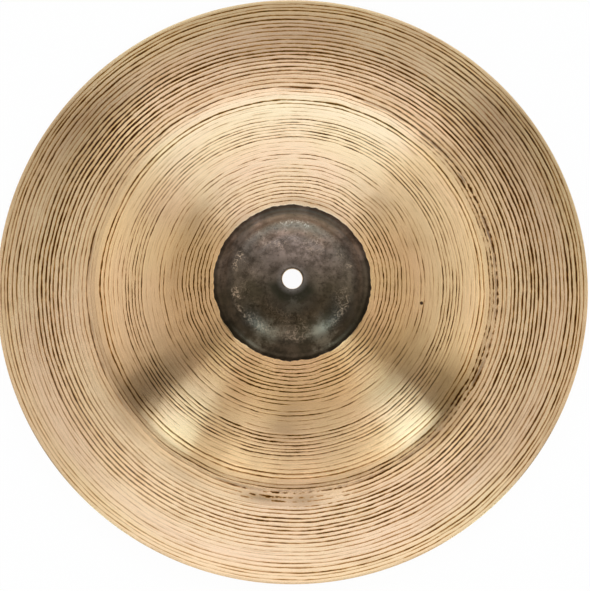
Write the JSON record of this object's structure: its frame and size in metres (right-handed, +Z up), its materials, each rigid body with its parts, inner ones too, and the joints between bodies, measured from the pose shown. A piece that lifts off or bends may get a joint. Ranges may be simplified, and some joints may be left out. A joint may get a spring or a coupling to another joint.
{
  "type": "china cymbal",
  "caption": "China cymbal: thin lathed bronze disc with a raw domed bell, a sloping bow and an upturned flange, hung on a stand by its centre hole.",
  "frame": {"origin": "on the resting plane under the centre hole: the cymbal lies bell up, on the trough between bow and flange", "axes": "+Z up through the hole, out of the top of the bell; X and Y lie across the disc, which looks the same all round"},
  "size_m": [0.4064, 0.4064, 0.0342],
  "materials": {
    "lathed_bronze": "lathed in fine rings over hammering, satin, with dark residue left in the deeper grooves",
    "raw_bronze": "raw, unlathed fired skin of the bell: dark grey-brown, mottled, with turned scratches"
  },
  "bodies": {
    "root": {"cymbal": "lathed_bronze"}
  },
  "joints": []
}
